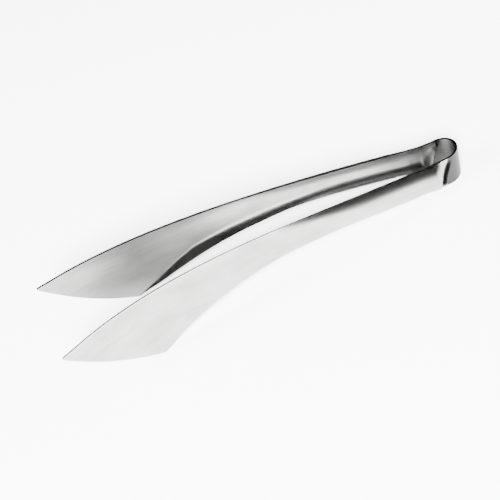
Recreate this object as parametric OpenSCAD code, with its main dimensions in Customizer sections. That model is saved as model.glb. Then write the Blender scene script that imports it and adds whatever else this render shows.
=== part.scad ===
// Sprung serving tongs: one strip of pressed stainless sheet folded round at the butt.
// The tongs lie on their side. +X runs from the blade tips to the loop, +Y is the way the
// arms open, +Z goes up across the strip. The origin is the centre of the outline, on the
// ground. The front arm is at -Y and the rear arm is its mirror image. They are at rest, open.

/* [Sheet] */
// Thickness of the sheet
sheet_t = 1.4; // [1:0.1:1.6]
// Length from the blade tips to the end of the loop
total_l = 260; // [250:5:300]

/* [Opening] */
// Half of the gap between the two tips
tip_y = 32.4; // [28:0.2:36]
// Half of the gap at a third of the arm
third_y = 20.6; // [18:0.2:24]
// Half of the gap at two thirds of the arm
two_thirds_y = 18.6; // [16:0.2:20]
// Half of the gap at the end of the handle
butt_y = 10.4; // [10:0.2:12]

/* [Blade] */
// Height of the tip above the ground
tip_z = 36.5; // [32:0.5:40]
// Distance from the tip to the heel, where the cut end stands on the ground
heel_x = 52; // [44:0.5:60]
// How far the cut end bulges out of a straight line, as its curve's control point
cut_bulge = 7.8; // [0:0.2:10]
// Distance from the tip to where the blade turns into the handle
blade_l = 92; // [80:1:110]
// Lean of the rolled upper edge of the blade, from upright
blade_roll = 10; // [0:1:20]

/* [Handle] */
// Height of the upper edge's curve, a quarter of the way along
top_z1 = 52; // [48:0.5:58]
// Height of the upper edge's curve, half way
top_z2 = 43; // [38:0.5:48]
// Height of the upper edge's curve, three quarters of the way
top_z3 = 32.5; // [30:0.5:36]
// Height of the lower edge's curve, a quarter of the way from the heel
low_z1 = 16.2; // [12:0.2:20]
// Height of the lower edge's curve, half way from the heel
low_z2 = 26.5; // [22:0.5:30]
// Height of the lower edge's curve, three quarters of the way from the heel
low_z3 = 11.2; // [7:0.2:12]
// Lean of the channel's lower flange next to the blade, from upright
front_lean = 44; // [35:1:60]
// Lean of the channel's lower flange in the grip, from upright
low_lean = 56; // [45:1:60]
// Lean of the channel's upper flange in the grip, from upright
top_lean = 48; // [35:1:55]

/* [Spring loop] */
// Radius of the loop at the middle of the sheet
loop_r = 9.5; // [8.6:0.1:9.8]
// Width of the strip in the loop
loop_w = 19; // [16:0.5:20]
// Lean of the loop's axis towards its round end
loop_lean = 7; // [0:1:12]
// Depth of the groove pressed across each arm in front of the loop
groove_d = 2.4; // [0.5:0.1:2.6]
// Slant of the groove, how much further along its upper end is
groove_slant = 7.5; // [2:0.5:8]
// Angle from the middle of the round end to the line that each arm flexes about
flex_angle = 45; // [40:1:50]

/* [Hidden] */

steel = [0.78, 0.78, 0.77];
bright_steel = [0.84, 0.84, 0.83];

half_t = sheet_t / 2;
flex_gap = 0.05;                       // gap between the crown and each leaf, hairline
channel_l = total_l - 28;              // tip to the end of the handle
butt_top_z = 21.2;                     // upper edge at the end of the handle
butt_low_z = 3.1;                      // lower edge there
cut_out = 1.2;                         // how far the cut end lies outside the upper edge
lip_in = 0.9;                          // how far the lower lip folds in past the upper edge
lip_l = 26;                            // distance in which the lower lip folds in at the heel
lip_end_x = 160;                       // tip to where the lips are in line again
flange_l = 43;                         // distance in which the lower flange widens at the heel
// Shares of the sheet's width taken by the flat of each flange and by the bend next to it, at
// the blade and in the grip
low_flat_share = [0.18, 0.07];
low_bend_share = [0.05, 0.26];
top_flat_share = [0, 0.12];
top_bend_share = [0.24, 0.45];
sharp_bend = 0.01;                     // share of the bend that stays where there is no flange
low_grip_x = 80;                       // tip to where the lower half becomes the grip
top_grip_x = 128;                      // tip to where the upper half becomes the grip
grip_l = 70;                           // distance that each change to the grip takes
tip_h = 0.8;                           // height left at the blunted tip
tip_l = 10;                            // length of the blunting
neck_l = 5;                            // straight run at each end of the strip's neck
groove_x = total_l - 14.3;             // edge of the groove at the loop, low on the strip
groove_low = 0.2;                      // share of the height from where the groove slants
groove_curve = 1.5;                    // power of the height that the slant grows with
groove_fade = 0.31;                    // share of the height in which it fades at the upper edge
groove_wall = 2.2;                     // width of the groove's steep side, at the loop
groove_ramp = 5;                       // width of its gentle side
flatten_start = 6;                     // distance before its edge where the channel flattens out
flatten_l = 5;                         // distance in which the channel flattens out
flange_end_x = total_l - 21;           // where the upper flange starts to run out
flange_end_l = 8;                      // distance in which it runs out
level_u = 0.93;                        // where the sheet's thickness starts to turn level
round_fn = 96;                         // sides of the loop's round end
loop_x = total_l - loop_w * tan(loop_lean) - (loop_r + half_t) / cos(loop_lean);
across = 20;                           // steps across the strip

// Places along an arm are given by u: 0 at the tip, 1 at the end of the handle, LOOP_START
// where the loop turns round and FLEX at the flexing line.
LOOP_START = 1.5;
FLEX = 1.75;

function mix(a, b, k) = a + (b - a) * k;
function clamp01(k) = max(0, min(1, k));
function ease(k) = let (c = clamp01(k)) c * c * (3 - 2 * c);

// Point at k on the Bezier curve with control points c
function bezier(c, k) = len(c) == 1 ? c[0]
    : bezier([for (i = [0:len(c) - 2]) mix(c[i], c[i + 1], k)], k);

// --- The two edges of the sheet along an arm, by distance x from the tip ---

function upper_y(x) = bezier([tip_y, third_y, two_thirds_y, butt_y], x / channel_l);

// The cut end is flat and lies outside the rolled upper edge; the lower lip folds in past it
function folded(x) = ease((x - heel_x + lip_l / 5) / lip_l);
function lower_y(x) = upper_y(x) + cut_out * min(1, x / heel_x) * (1 - folded(x))
    - lip_in * folded(x) * (1 - ease((x - lip_end_x) / lip_l + 1));

function blunting(x) = tip_h / 2 * (1 - ease(x / tip_l));
function upper_z(x) =
    bezier([tip_z, top_z1, top_z2, top_z3, butt_top_z], x / channel_l) + blunting(x);

// Control point of the cut end, and the height of its curve at x
cut_mid = [heel_x, -tip_z] / 2 + cut_bulge / norm([heel_x, tip_z]) * [-tip_z, -heel_x] + [0, tip_z];
function cut_k(x) = let (a = heel_x - 2 * cut_mid[0], b = cut_mid[0])
    abs(a) < 0.001 ? x / heel_x : (sqrt(b * b + a * x) - b) / a;
function cut_z(x) = bezier([tip_z, cut_mid[1], 0], cut_k(x)) - blunting(x);

function lower_z(x) = x < heel_x ? cut_z(x)
    : bezier([0, low_z1, low_z2, low_z3, butt_low_z], (x - heel_x) / (channel_l - heel_x));

// --- Cross-section of the channel: which way the sheet leans at each step across it ---

function low_grip(x) = ease((x - low_grip_x) / grip_l);
function top_grip(x) = ease((x - top_grip_x) / grip_l);
function widening(x) = clamp01((x - heel_x) / flange_l);
function low_angle(x) = mix(front_lean, low_lean, low_grip(x));
function top_angle(x) = mix(blade_roll, top_lean, top_grip(x))
    * (1 - ease((x - flange_end_x) / flange_end_l));
function low_flat(x) = mix(low_flat_share[0], low_flat_share[1], low_grip(x)) * widening(x);
function low_bend(x) =
    sharp_bend + mix(low_bend_share[0], low_bend_share[1], low_grip(x)) * widening(x);
function top_flat(x) = mix(top_flat_share[0], top_flat_share[1], top_grip(x));
function top_bend(x) = mix(top_bend_share[0], top_bend_share[1], top_grip(x));

// Mean over the step from k on of a ramp that climbs from 0 at start to 1 at start + width
function area(t) = t < 0 ? 0 : t < 1 ? t * t / 2 : t - 0.5;
function mean_ramp(k, start, width) =
    across * width * (area((k + 1 / across - start) / width) - area((k - start) / width));

// Lean of the sheet over the step across it from k on; k is 0 at the lower edge, 1 at the upper
function lean(x, k) = low_angle(x) * (1 - mean_ramp(k, low_flat(x), low_bend(x)))
    - top_angle(x) * mean_ramp(k, 1 - top_flat(x) - top_bend(x), top_bend(x));

// The section as outward and upward distances, before it is fitted between the two edges
function walk(x) = [for (i = 0, p = [0, 0]; i <= across;
    p = p + [sin(lean(x, i / across)), cos(lean(x, i / across))], i = i + 1) p];

// The section turned and scaled so that its ends are h apart, one above the other
function section(x, h) =
    let (w = walk(x), chord = w[across], k = h / (chord * chord))
    [for (p = w) k * [p[0] * chord[1] - p[1] * chord[0], p[0] * chord[0] + p[1] * chord[1]]];

// --- The middle of the sheet, as a row of points across the strip at u ---

// Point of the loop at angle a from its round end, on radius r and at height z
function loop_point(a, r, z) =
    [loop_x + r * cos(a) / cos(loop_lean) + z * tan(loop_lean), r * sin(a), z];
function loop_angle(u) = mix(90, flex_angle, (u - LOOP_START) / (FLEX - LOOP_START));
function loop_z(u, k) = let (down = pow(1 - clamp01((u - 1) / (LOOP_START - 1)), 2))
    mix(butt_low_z * down, mix(loop_w, butt_top_z, down), k);

// Edge of the strip behind the handle, from the end of the handle to the start of the loop
function neck_edge(u, k) =
    let (z = loop_z(u, k), q = loop_point(90, loop_r, z))
    bezier([[channel_l, butt_y, z], [channel_l + neck_l, butt_y, z], q - [neck_l, 0, 0], q],
           (u - 1) / (LOOP_START - 1));

// Lower (k = 0) or upper (k = 1) edge of the strip at u
function edge(u, k) = let (x = u * channel_l)
    u >= 1 ? neck_edge(u, k) : k == 0 ? [x, lower_y(x), lower_z(x)] : [x, upper_y(x), upper_z(x)];

// The groove has a gentle side towards the handle and a steep side at the loop. It is deepest
// low on the strip and fades away at both edges. At x and share k of the height: distance
// behind the groove's edge, the groove's depth, and how much of the channel is left, as the
// sheet is flat from the groove on.
function past_groove(x, k) =
    x - groove_x - groove_slant * pow(max(0, k - groove_low) / (1 - groove_low), groove_curve);
function groove_depth(x, k) = let (g = past_groove(x, k), half = groove_wall / 2)
    groove_d * ease(k / groove_low) * ease((1 - k) / groove_fade)
    * (g < -half ? ease((g + groove_ramp) / (groove_ramp - half)) : 1 - ease((g + half) / groove_wall));
function channel_left(x, k) = 1 - ease((past_groove(x, k) + flatten_start) / flatten_l);

// Row across the strip at u, from the lower edge to the upper edge
function arm_row(u) =
    let (low = edge(u, 0), top = edge(u, 1), h = top[2] - low[2], x = (low[0] + top[0]) / 2,
         s = section(x, h))
    [for (i = [0:across]) let (k = i / across, left = channel_left(x, k))
        low + (top - low) * mix(k, s[i][1] / h, left)
        + [0, left * s[i][0] - groove_depth(x, k), 0]];

// The same row moved outwards by d: square to the sheet along the blade and the handle, and
// turning to straight across the tongs at the handle's end, so that the rims there lie flat
probe = 0.004;
function unit(v) = v / norm(v);
function moved_row(u, d) =
    let (before = arm_row(u - probe), here = arm_row(u), after = arm_row(u + probe),
         flat = ease((u - level_u) / (1 - level_u)))
    [for (i = [0:across])
        let (up = here[min(i + 1, across)] - here[max(i - 1, 0)],
             out = unit(cross(up, after[i] - before[i])))
        here[i] + d * unit(mix(out, [0, 1, 0], flat))];
function loop_row(u, d) = [for (i = [0:across])
    let (k = i / across, p = loop_point(loop_angle(u), loop_r + d, loop_z(u, k)))
    p - [0, groove_depth(p[0], k), 0]];
function skin_row(u, d) = u < LOOP_START ? moved_row(u, d) : loop_row(u, d);

// Solid sheet between the rows at the places in list us
module sheet(us) {
    rings = [for (u = us) let (o = skin_row(u, half_t), i = skin_row(u, -half_t))
        concat(o, [for (j = [across:-1:0]) i[j]])];
    n = 2 * (across + 1);
    last = (len(us) - 1) * n;
    walls = [for (at = [0:n:last - n], j = [0:n - 1])
        let (a = at + j, b = at + (j + 1) % n)
        each [[a, a + n, b + n], [a, b + n, b]]];
    start_cap = [for (j = [0:across - 1]) let (a = j, d = n - 1 - j)
        each [[a, a + 1, d - 1], [a, d - 1, d]]];
    end_cap = [for (j = [0:across - 1]) let (a = last + j, d = last + n - 1 - j)
        each [[a, d - 1, a + 1], [a, d, d - 1]]];
    polyhedron([for (r = rings, p = r) p], concat(walls, start_cap, end_cap), convexity = 6);
}

module front() { translate([-total_l / 2, 0, 0]) mirror([0, 1, 0]) children(); }
module rear() { translate([-total_l / 2, 0, 0]) children(); }

// Even steps of u after a, up to b
function steps(a, b, count) = [for (i = [1:count]) mix(a, b, i / count)];

blade_u = blade_l / channel_l;
heel_u = heel_x / channel_l;
// The leaf stops a hairline short of the flexing line
leaf_end = FLEX - (FLEX - LOOP_START) * flex_gap / (loop_r * (90 - flex_angle) * PI / 180);

module blade_sheet() { sheet(concat([0], steps(0, heel_u, 14), steps(heel_u, blade_u, 14))); }
module handle_sheet() { sheet(concat([blade_u], steps(blade_u, 1, 40))); }
module leaf_sheet() { sheet(concat([1], steps(1, LOOP_START, 24), steps(LOOP_START, leaf_end, 8))); }

module front_blade() { color(bright_steel) front() blade_sheet(); }
module rear_blade() { color(bright_steel) rear() blade_sheet(); }
module front_handle() { color(steel) front() handle_sheet(); }
module rear_handle() { color(steel) rear() handle_sheet(); }
module front_spring_leaf() { color(steel) front() leaf_sheet(); }
module rear_spring_leaf() { color(steel) rear() leaf_sheet(); }

// Wedge that keeps the sector of the loop between the two flexing lines
module crown_wedge() {
    reach = 3 * loop_r;
    linear_extrude(4 * loop_w, center = true)
        polygon([[0, 0], reach * [cos(flex_angle), -sin(flex_angle)],
                 [2 * reach, 0], reach * [cos(flex_angle), sin(flex_angle)]]);
}

module spring_crown() {
    color(steel) intersection() {
        translate([loop_x - total_l / 2, 0, 0]) rotate([0, loop_lean, 0]) intersection() {
            difference() {
                cylinder(h = 4 * loop_w, r = loop_r + half_t, center = true, $fn = round_fn);
                cylinder(h = 5 * loop_w, r = loop_r - half_t, center = true, $fn = round_fn);
            }
            crown_wedge();
        }
        translate([0, -total_l / 2, 0]) cube([total_l, total_l, loop_w]);
    }
}

spring_crown();
front_spring_leaf();
rear_spring_leaf();
front_handle();
rear_handle();
front_blade();
rear_blade();
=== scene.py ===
import math
import bpy
from mathutils import Matrix, Vector


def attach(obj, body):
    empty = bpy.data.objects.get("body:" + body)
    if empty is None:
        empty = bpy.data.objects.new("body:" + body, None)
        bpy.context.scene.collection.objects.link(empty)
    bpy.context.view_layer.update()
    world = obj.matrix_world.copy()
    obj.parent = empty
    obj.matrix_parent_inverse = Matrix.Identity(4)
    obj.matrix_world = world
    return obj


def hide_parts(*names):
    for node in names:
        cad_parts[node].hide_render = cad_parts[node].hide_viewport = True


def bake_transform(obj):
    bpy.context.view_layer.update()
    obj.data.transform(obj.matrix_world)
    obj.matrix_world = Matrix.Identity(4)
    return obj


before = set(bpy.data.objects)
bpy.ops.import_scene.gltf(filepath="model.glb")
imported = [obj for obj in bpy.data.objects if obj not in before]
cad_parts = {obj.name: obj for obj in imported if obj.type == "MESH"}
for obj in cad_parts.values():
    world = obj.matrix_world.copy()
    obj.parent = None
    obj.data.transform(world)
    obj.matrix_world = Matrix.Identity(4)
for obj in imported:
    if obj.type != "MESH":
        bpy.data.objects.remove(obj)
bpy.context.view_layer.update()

MM = 0.001                             # the shape is worked out in millimetres

# --- Camera -------------------------------------------------------------------
# It looks down on the tongs as they lie open, from the side of the front arm, rolled so that
# they run up to the right.
CAMERA_TURN = math.radians(-3.0)       # round from straight across the tongs
CAMERA_DOWN = math.radians(41.8)       # below the horizon
CAMERA_ROLL = math.radians(-25.0)
CAMERA_DISTANCE = 0.8818
CAMERA_LENS = 108                      # mm
CAMERA_AIM = Vector((-0.0073, 0, 0.0165))


def make_camera():
    """A camera that looks at CAMERA_AIM."""
    level = math.cos(CAMERA_DOWN)
    ahead = Vector((-math.sin(CAMERA_TURN) * level, math.cos(CAMERA_TURN) * level,
                    -math.sin(CAMERA_DOWN)))
    right = Vector((math.cos(CAMERA_TURN), math.sin(CAMERA_TURN), 0))
    axes = Matrix((right, right.cross(ahead), -ahead)).transposed()
    data = bpy.data.cameras.new("camera")
    data.lens = CAMERA_LENS
    camera = bpy.data.objects.new("camera", data)
    camera.matrix_world = (axes @ Matrix.Rotation(CAMERA_ROLL, 3, "Z")).to_4x4()
    camera.location = CAMERA_AIM - ahead * CAMERA_DISTANCE
    bpy.context.collection.objects.link(camera)
    bpy.context.scene.camera = camera


make_camera()

# --- Shape of the strip, in millimetres, as in the CAD part --------------------
# An arm is a row of cross-sections from the blade's tip, x = 0, to the middle of the loop.
# These functions give the rear arm; the front arm is its mirror image.
HALF = 0.7                             # half of the sheet's thickness
TOTAL = 260                            # overall length
HEEL = 52                              # tip to the heel of the cut end
HANDLE_END = TOTAL - 28                # tip to the end of the handle
TIP_Y, THIRD_Y, TWO_THIRDS_Y, BUTT_Y = 32.4, 20.6, 18.6, 10.4
TIP_Z, TOP_Z1, TOP_Z2, TOP_Z3, BUTT_TOP = 36.5, 52, 43, 32.5, 21.2
LOW_Z1, LOW_Z2, LOW_Z3, BUTT_LOW = 16.2, 26.5, 11.2, 3.1
CUT_BULGE = 7.8
CUT_OUT, LIP_IN, LIP_RUN, LIP_END = 1.2, 0.9, 26, 160
FLANGE_RUN, LOW_GRIP, TOP_GRIP, GRIP_RUN = 43, 80, 128, 70
TIP_HEIGHT, TIP_RUN = 0.8, 10
BLADE_ROLL, FRONT_LEAN, LOW_LEAN, TOP_LEAN = 10, 44, 56, 48
LOOP_R, LOOP_W, LOOP_LEAN, FLEX_ANGLE = 9.5, 19, math.radians(7), 45
NECK_RUN = 5
GROOVE_X, GROOVE_WALL, GROOVE_RAMP = TOTAL - 14.3, 2.2, 5
GROOVE_DEEP, GROOVE_SLANT, GROOVE_CURVE = 2.4, 7.5, 1.5
GROOVE_LOW, GROOVE_FADE = 0.2, 0.31
FLATTEN_START, FLATTEN_RUN = 6, 5      # where the channel flattens out in front of the groove
FLANGE_END, FLANGE_END_RUN = TOTAL - 21, 8
# Shares of the width taken by the flat of each flange and by the bend next to it, at the blade
# and in the grip
LOW_FLAT, LOW_BEND, SHARP_BEND = (0.18, 0.07), (0.05, 0.26), 0.01
TOP_FLAT, TOP_BEND = (0, 0.12), (0.24, 0.45)
LEVEL_U = 0.93
LOOP_X = TOTAL - LOOP_W * math.tan(LOOP_LEAN) - (LOOP_R + HALF) / math.cos(LOOP_LEAN)
LOOP_START, LOOP_END = 1.5, 2          # u where the loop turns round, and at its middle
ACROSS = 40                            # steps across the strip


def mix(a, b, k):
    return a + (b - a) * k


def clamp01(k):
    return max(0.0, min(1.0, k))


def ease(k):
    k = clamp01(k)
    return k * k * (3 - 2 * k)


def bezier(points, k):
    """The place at k on the Bezier curve with those control points."""
    while len(points) > 1:
        points = [mix(a, b, k) for a, b in zip(points, points[1:])]
    return points[0]


def upper_y(x):
    return bezier([TIP_Y, THIRD_Y, TWO_THIRDS_Y, BUTT_Y], x / HANDLE_END)


def lower_y(x):
    folded = ease((x - HEEL + LIP_RUN / 5) / LIP_RUN)
    return (upper_y(x) + CUT_OUT * min(1, x / HEEL) * (1 - folded)
            - LIP_IN * folded * (1 - ease((x - LIP_END) / LIP_RUN + 1)))


def blunting(x):
    return TIP_HEIGHT / 2 * (1 - ease(x / TIP_RUN))


def upper_z(x):
    return bezier([TIP_Z, TOP_Z1, TOP_Z2, TOP_Z3, BUTT_TOP], x / HANDLE_END) + blunting(x)


CUT_SIDE = CUT_BULGE / math.hypot(HEEL, TIP_Z)
CUT_X = HEEL / 2 - CUT_SIDE * TIP_Z    # control point of the cut end
CUT_Z = TIP_Z / 2 - CUT_SIDE * HEEL


def lower_z(x):
    if x >= HEEL:
        return bezier([0, LOW_Z1, LOW_Z2, LOW_Z3, BUTT_LOW], (x - HEEL) / (HANDLE_END - HEEL))
    bend = HEEL - 2 * CUT_X
    k = (math.sqrt(CUT_X * CUT_X + bend * x) - CUT_X) / bend
    return bezier([TIP_Z, CUT_Z, 0], k) - blunting(x)


def mean_ramp(k, start, width):
    """Mean over the step from k on of a ramp from 0 at start to 1 at start + width."""
    def area(t):
        return 0 if t < 0 else t * t / 2 if t < 1 else t - 0.5
    after = k + 1 / ACROSS
    return ACROSS * width * (area((after - start) / width) - area((k - start) / width))


def section(x, height):
    """The channel's section at x: distances outward and upward, from its lower edge up."""
    low_grip, top_grip = ease((x - LOW_GRIP) / GRIP_RUN), ease((x - TOP_GRIP) / GRIP_RUN)
    widening = clamp01((x - HEEL) / FLANGE_RUN)
    low = mix(FRONT_LEAN, LOW_LEAN, low_grip)
    top = mix(BLADE_ROLL, TOP_LEAN, top_grip) * (1 - ease((x - FLANGE_END) / FLANGE_END_RUN))
    low_flat = mix(*LOW_FLAT, low_grip) * widening
    low_bend = SHARP_BEND + mix(*LOW_BEND, low_grip) * widening
    top_flat, top_bend = mix(*TOP_FLAT, top_grip), mix(*TOP_BEND, top_grip)
    out, up, walk = 0.0, 0.0, [(0.0, 0.0)]
    for i in range(ACROSS):
        lean = math.radians(
            low * (1 - mean_ramp(i / ACROSS, low_flat, low_bend))
            - top * mean_ramp(i / ACROSS, 1 - top_flat - top_bend, top_bend))
        out, up = out + math.sin(lean), up + math.cos(lean)
        walk.append((out, up))
    size = height / (out * out + up * up)
    return [(size * (o * up - u * out), size * (o * out + u * up)) for o, u in walk]


def loop_point(angle, r, z):
    angle = math.radians(angle)
    return Vector((LOOP_X + r * math.cos(angle) / math.cos(LOOP_LEAN) + z * math.tan(LOOP_LEAN),
                   r * math.sin(angle), z))


def edges(u):
    """The strip's lower and upper edge at u, up to the start of the loop."""
    x = u * HANDLE_END
    if u < 1:
        return Vector((x, lower_y(x), lower_z(x))), Vector((x, upper_y(x), upper_z(x)))
    k = (u - 1) / (LOOP_START - 1)
    down = (1 - k) ** 2
    run = Vector((NECK_RUN, 0, 0))
    found = []
    for z in (BUTT_LOW * down, mix(LOOP_W, BUTT_TOP, down)):
        start, end = Vector((HANDLE_END, BUTT_Y, z)), loop_point(90, LOOP_R, z)
        found.append(bezier([start, start + run, end - run, end], k))
    return found


def past_groove(x, k):
    """Distance of x behind the groove's edge, at share k of the strip's height."""
    slant = max(0, k - GROOVE_LOW) / (1 - GROOVE_LOW)
    return x - GROOVE_X - GROOVE_SLANT * slant ** GROOVE_CURVE


def groove_depth(x, k):
    place, half = past_groove(x, k), GROOVE_WALL / 2
    if place < -half:
        share = ease((place + GROOVE_RAMP) / (GROOVE_RAMP - half))
    else:
        share = 1 - ease((place + half) / GROOVE_WALL)
    return GROOVE_DEEP * ease(k / GROOVE_LOW) * ease((1 - k) / GROOVE_FADE) * share


def groove_and_loop_shade(x, k):
    """How much shade is painted in the groove and on the loop behind it, standing in for the
    groove's dark reflections and the loop's shadow.
    """
    place = past_groove(x, k)
    reach = SHADE_REACH + SHADE_SPREAD * (1 - k) ** 3
    groove = ease((place + reach) / SHADE_START) * (1 - ease(place / SHADE_STOP + 0.5))
    return max(groove * ease(k * 10), LOOP_SHADE * ease(place / SHADE_STOP + 1))


def loop_angle(u):
    return 90 * (LOOP_END - u) / (LOOP_END - LOOP_START)


def row(u):
    """The middle of the sheet at u: points across the strip from the lower to the upper edge."""
    points = []
    if u >= LOOP_START:
        for i in range(ACROSS + 1):
            p = loop_point(loop_angle(u), LOOP_R, LOOP_W * i / ACROSS)
            dent = groove_depth(p.x, i / ACROSS) if p.y > 0 else 0
            points.append(p - Vector((0, dent, 0)))
        return points
    low, top = edges(u)
    height, x = top.z - low.z, (low.x + top.x) / 2
    for i, (out, up) in enumerate(section(x, height)):
        k = i / ACROSS
        left = 1 - ease((past_groove(x, k) + FLATTEN_START) / FLATTEN_RUN)
        points.append(low + (top - low) * mix(k, up / height, left)
                      + Vector((0, left * out - groove_depth(x, k), 0)))
    return points


# --- From the strip to meshes -----------------------------------------------------
BLADE_END = 92                         # tip to where the blade turns into the handle
FLEX = mix(LOOP_END, LOOP_START, FLEX_ANGLE / 90)
CORNER = 0.08                          # radius of the sheet's deburred edges
CORNER_STEPS = 3
SUPPORT = 0.10                         # extra row of points behind each rounded edge
PROBE = 0.004                          # step in u that measures which way the strip runs
WEAR_REACH = 0.7                       # how far the bright wear at an edge reaches
# How much shade is painted into the colour: a painted dark reflection on the rims, a painted shadow
# round the loop, painted shade on the inner sides of the loop and the blades; 1 is all of it
RIM_SHADE, LOOP_SHADE, INNER_SHADE, BLADE_SHADE = 0.9, 0.95, 0.5, 0.26
SHADE_REACH, SHADE_SPREAD = 4.4, 4       # length of painted shade in the groove, and more of it low down
SHADE_START, SHADE_STOP = 2, 0.8         # lengths in which it starts and stops


def inner_shade(u):
    """Painted shade on the inner side: some on the blade, none in the grip, more in the loop."""
    blade = 1 - ease((u - 0.3) * 4)
    loop = ease((u - 1) * 3)
    return BLADE_SHADE * blade + INNER_SHADE * loop


def directions(u, mids):
    """Which way the sheet's outer side moves and faces at each point of a row."""
    before, after = row(u - PROBE), row(u + PROBE)
    flat = ease((u - LEVEL_U) / (1 - LEVEL_U))
    angle = math.radians(min(90, loop_angle(u)))
    level = Vector((math.cos(angle) / math.cos(LOOP_LEAN), math.sin(angle), 0))
    outs, faces = [], []
    for i in range(len(mids)):
        up = mids[min(i + 1, ACROSS)] - mids[max(i - 1, 0)]
        face = up.cross(after[i] - before[i]).normalized()
        faces.append(face)
        outs.append(level if u >= LOOP_START else mix(face, level, flat).normalized())
    return outs, faces


def ring(u):
    """Points round the strip at u: place, normal, distance from the upper edge, wear and painted
    shade.

    They run up the outer side, over the upper rim, down the inner side and under the lower rim.
    """
    mids = row(u)
    outs, faces = directions(u, mids)
    ends = [(mids[0] - mids[1]).normalized(), (mids[-1] - mids[-2]).normalized()]
    depth = [0.0]
    for a, b in zip(mids[:0:-1], mids[-2::-1]):
        depth.append(depth[-1] + (a - b).length)
    depth.reverse()

    def inset(i, by):
        return mids[i] - ends[i] * by, outs[i], faces[i], depth[i] + (by if i else -by), i % ACROSS
    width = depth[0]
    corner = min(CORNER, width / 4)
    support = min(SUPPORT, width / 8)
    skin = [inset(0, corner), inset(0, corner + support)]
    skin += [(mids[i], outs[i], faces[i], depth[i], i) for i in range(1, ACROSS)]
    skin += [inset(-1, corner + support), inset(-1, corner)]
    points = []

    def add_skin(side, order):
        for middle, out, face, d, i in order:
            wear = math.exp(-min(d, width - d) / WEAR_REACH)
            # Painted shade: in the groove and round the loop on the outer side, on the blades and
            # in the loop on the inner side
            painted_shade = groove_and_loop_shade(middle.x, i / ACROSS) if side > 0 else inner_shade(u)
            points.append((middle + out * HALF * side, face * side, d * side, wear, painted_shade))

    # The rims get painted shade, a dark reflection painted into their colour
    def add_rim(end, side):
        middle, out, face, d, _ = inset(end, corner)
        for turn in (side, -side):
            steps = range(1, CORNER_STEPS + 1) if turn == side else range(CORNER_STEPS, 0, -1)
            for step in steps:
                a = math.pi / 2 * step / CORNER_STEPS
                lean = turn * math.cos(a)
                normal = (face * lean + ends[end] * math.sin(a)).normalized()
                points.append((middle + out * (turn * (HALF - corner) + corner * lean)
                               + ends[end] * corner * math.sin(a), normal, d * turn, 0.0, RIM_SHADE))
    add_skin(1, skin)
    add_rim(-1, 1)
    add_skin(-1, skin[::-1])
    add_rim(0, -1)
    return points


def along(u):
    """Distance along the sheet from the middle of the loop."""
    if u >= LOOP_START:
        return LOOP_R * math.radians(loop_angle(u))
    return LOOP_R * math.pi / 2 + loop_point(90, LOOP_R, 0).x - edges(u)[0].x


def pressed_sheet(name, us, side):
    """A length of the strip through the places us, on the rear (side 1) or front (-1) arm."""
    rings = [ring(u) for u in us]
    count = len(rings[0])
    place = Vector((-TOTAL / 2, 0, 0))
    points = [Vector((p.x, side * p.y, p.z)) + place for r in rings for p, *_ in r]
    normals = [Vector((n.x, side * n.y, n.z)) for r in rings for _, n, *_ in r]
    faces = []
    for start in range(0, len(points) - count, count):
        for j in range(count):
            a, b = start + j, start + (j + 1) % count
            faces.append([a, b, b + count, a + count])
    if us[0] == 0:
        faces.append(list(range(count))[::-1])
    mesh = bpy.data.meshes.new(name)
    mesh.from_pydata([p * MM for p in points], [], faces if side > 0 else [f[::-1] for f in faces])
    uv = mesh.uv_layers.new(name="strip")
    loop_normals = []
    for polygon in mesh.polygons:
        for k in polygon.loop_indices:
            v = mesh.loops[k].vertex_index
            i, j = divmod(v, count)
            uv.data[k].uv = (side * along(us[i]) * MM, rings[i][j][2] * MM)
            loop_normals.append(normals[v] if len(polygon.vertices) == 4 else polygon.normal)
    for column, attribute in ((3, "wear"), (4, "painted_shade")):
        values = mesh.attributes.new(attribute, "FLOAT", "POINT")
        values.data.foreach_set("value", [point[column] for r in rings for point in r])
    mesh.shade_smooth()
    mesh.normals_split_custom_set(loop_normals)
    piece = bpy.data.objects.new(name, mesh)
    bpy.context.collection.objects.link(piece)
    return piece


def steps(a, b, count):
    return [mix(a, b, i / count) for i in range(count + 1)]


HEEL_U, BLADE_END_U = HEEL / HANDLE_END, BLADE_END / HANDLE_END
BLADE_US = steps(0, HEEL_U, 30) + steps(HEEL_U, BLADE_END_U, 26)[1:]
HANDLE_US = steps(BLADE_END_U, 1, 80)
LEAF_US = steps(1, LOOP_START, 60) + steps(LOOP_START, FLEX, 20)[1:]
CROWN_US = steps(FLEX, 2 * LOOP_END - FLEX, 44)

crown = pressed_sheet("spring_crown_sheet", CROWN_US, 1)
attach(crown, "spring_bow")
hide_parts("spring_crown")
sheets = [crown]
for arm, side in (("front", -1), ("rear", 1)):
    blade = pressed_sheet(arm + "_blade_sheet", BLADE_US, side)
    handle = pressed_sheet(arm + "_handle_sheet", HANDLE_US, side)
    leaf = pressed_sheet(arm + "_spring_leaf_sheet", LEAF_US, side)
    for piece in (blade, handle):
        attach(piece, arm + "_arm")
    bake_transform(leaf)
    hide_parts(arm + "_blade")
    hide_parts(arm + "_handle")
    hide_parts(arm + "_spring_leaf")
    sheets += [blade, handle, leaf]

# --- Brushed stainless steel --------------------------------------------------------
STEEL_DARK, STEEL_LIGHT = (0.285, 0.284, 0.278), (0.385, 0.384, 0.377)
# The dark colour is painted shade where the mesh asks for it, and a thin film in random cloudy
# patches
WORN_STEEL, SHADE_AND_FILM_COLOUR = (0.44, 0.44, 0.432), (0.03, 0.03, 0.029)
SATIN_SMOOTH, SATIN_ROUGH, WORN_ROUGH, SHADE_AND_FILM_ROUGH = 0.24, 0.34, 0.2, 0.46
GRAIN_DEPTH, GRAIN_STRENGTH = 0.00003, 0.14        # metres, share
CLOUDS = 0.24                          # strength of the cloudy patches of thin film


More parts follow.
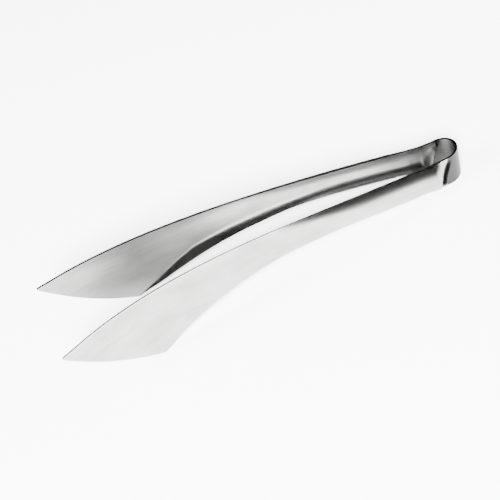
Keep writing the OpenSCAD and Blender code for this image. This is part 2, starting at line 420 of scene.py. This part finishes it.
def brushed_steel():
    """Satin stainless steel, brushed along the strip, brighter at its edges, darkened with painted
    shade and cloudy film.
    """
    material = bpy.data.materials.new("brushed_stainless")
    material.use_nodes = True
    nodes, links = material.node_tree.nodes, material.node_tree.links
    steel = nodes["Principled BSDF"]

    def noise(scale, detail, name):
        """Noise over the strip; scale is how often it changes in a metre along and across it."""
        stretch = nodes.new("ShaderNodeVectorMath")
        stretch.operation = "MULTIPLY"
        stretch.inputs[1].default_value = scale
        links.new(strip.outputs["UV"], stretch.inputs[0])
        texture = nodes.new("ShaderNodeTexNoise")
        texture.name = name
        texture.inputs["Scale"].default_value = 1
        texture.inputs["Detail"].default_value = detail
        links.new(stretch.outputs[0], texture.inputs["Vector"])
        return texture.outputs["Fac"]

    def blend_value(a, b, name, fac):
        """From a to b as fac goes from 0 to 1; each is a number or a node's output."""
        mixed = nodes.new("ShaderNodeMix")
        mixed.name = name
        mixed.data_type = "FLOAT"
        links.new(fac, mixed.inputs["Factor"])
        for socket, value in ((mixed.inputs["A"], a), (mixed.inputs["B"], b)):
            if isinstance(value, float):
                socket.default_value = value
            else:
                links.new(value, socket)
        return mixed.outputs["Result"]

    def colours(fac, dark, light, low, high):
        ramp = nodes.new("ShaderNodeValToRGB")
        ramp.color_ramp.elements[0].position, ramp.color_ramp.elements[1].position = low, high
        ramp.color_ramp.elements[0].color = (*dark, 1)
        ramp.color_ramp.elements[1].color = (*light, 1)
        links.new(fac, ramp.inputs["Fac"])
        return ramp.outputs["Color"]

    strip = nodes.new("ShaderNodeUVMap")
    strip.uv_map = "strip"
    grain = noise((90, 5200, 1), 3, "grain")
    bands = noise((18, 700, 1), 2, "bands")
    handling = noise((45, 70, 1), 4, "handling")
    # Thin film in random cloudy patches, on top of the painted shade that the mesh carries
    clouds = nodes.new("ShaderNodeMapRange")
    links.new(noise((34, 62, 1), 3, "clouds"), clouds.inputs["Value"])
    clouds.inputs["From Min"].default_value = 0.42
    clouds.inputs["From Max"].default_value = 0.66
    clouds.inputs["To Max"].default_value = CLOUDS
    wear, painted_shade = nodes.new("ShaderNodeAttribute"), nodes.new("ShaderNodeAttribute")
    wear.attribute_name, painted_shade.attribute_name = "wear", "painted_shade"
    # Painted shade from the mesh, raised in random cloudy patches of film
    painted_shade_and_clouds = blend_value(painted_shade.outputs["Fac"], 1.0, "painted_shade_and_clouds", clouds.outputs["Result"])

    streaks = blend_value(grain, bands, "streaks", handling)
    colour, darkened = nodes.new("ShaderNodeMix"), nodes.new("ShaderNodeMix")
    colour.data_type = darkened.data_type = "RGBA"
    links.new(wear.outputs["Fac"], colour.inputs["Factor"])
    links.new(colours(streaks, STEEL_DARK, STEEL_LIGHT, 0.3, 0.7), colour.inputs["A"])
    colour.inputs["B"].default_value = (*WORN_STEEL, 1)
    links.new(painted_shade_and_clouds, darkened.inputs["Factor"])
    links.new(colour.outputs["Result"], darkened.inputs["A"])
    darkened.inputs["B"].default_value = (*SHADE_AND_FILM_COLOUR, 1)
    links.new(darkened.outputs["Result"], steel.inputs["Base Color"])

    satin = blend_value(SATIN_SMOOTH, SATIN_ROUGH, "satin", streaks)
    rough = blend_value(satin, WORN_ROUGH, "rough", wear.outputs["Fac"])
    dull = blend_value(rough, SHADE_AND_FILM_ROUGH, "dull", painted_shade_and_clouds)
    links.new(dull, steel.inputs["Roughness"])
    bump = nodes.new("ShaderNodeBump")
    bump.inputs["Strength"].default_value = GRAIN_STRENGTH
    bump.inputs["Distance"].default_value = GRAIN_DEPTH
    links.new(streaks, bump.inputs["Height"])
    links.new(bump.outputs["Normal"], steel.inputs["Normal"])
    steel.inputs["Metallic"].default_value = 1
    return material


steel_material = brushed_steel()
for piece in sheets:
    piece.data.materials.append(steel_material)

# --- Floor, light and surroundings ------------------------------------------------------
FLOOR_SIZE = 8                         # metres


def make_floor():
    mesh = bpy.data.meshes.new("floor")
    half = FLOOR_SIZE / 2
    mesh.from_pydata([(-half, -half, 0), (half, -half, 0), (half, half, 0), (-half, half, 0)], [],
                     [(0, 1, 2, 3)])
    floor = bpy.data.objects.new("floor", mesh)
    bpy.context.collection.objects.link(floor)
    material = bpy.data.materials.new("pale_floor")
    material.use_nodes = True
    shader = material.node_tree.nodes["Principled BSDF"]
    shader.inputs["Base Color"].default_value = (0.92, 0.92, 0.92, 1)
    shader.inputs["Roughness"].default_value = 1
    shader.inputs["Specular IOR Level"].default_value = 0
    mesh.materials.append(material)


def soft_light(name, place, size, power, mirrored=False):
    """A light that faces the tongs; only a mirrored one shows in the steel."""
    data = bpy.data.lights.new(name, "AREA")
    data.shape = "RECTANGLE"
    data.size, data.size_y = size
    data.energy = power
    light = bpy.data.objects.new(name, data)
    light.location = place
    light.rotation_euler = (-Vector(place)).to_track_quat("-Z", "Y").to_euler()
    light.visible_glossy = mirrored
    bpy.context.collection.objects.link(light)


make_floor()
soft_light("front_light", (-0.5, -2.5, 2.0), (1.2, 1.2), 1560)
soft_light("left_light", (-2.6, 0.1, 2.0), (1.2, 1.2), 300)
soft_light("overhead_panel", (0, -0.33, 1.15), (1.5, 0.3), 1.8, mirrored=True)
world = bpy.data.worlds.new("studio")
world.use_nodes = True
world.node_tree.nodes["Background"].inputs["Color"].default_value = (0.012, 0.012, 0.012, 1)
bpy.context.scene.world = world
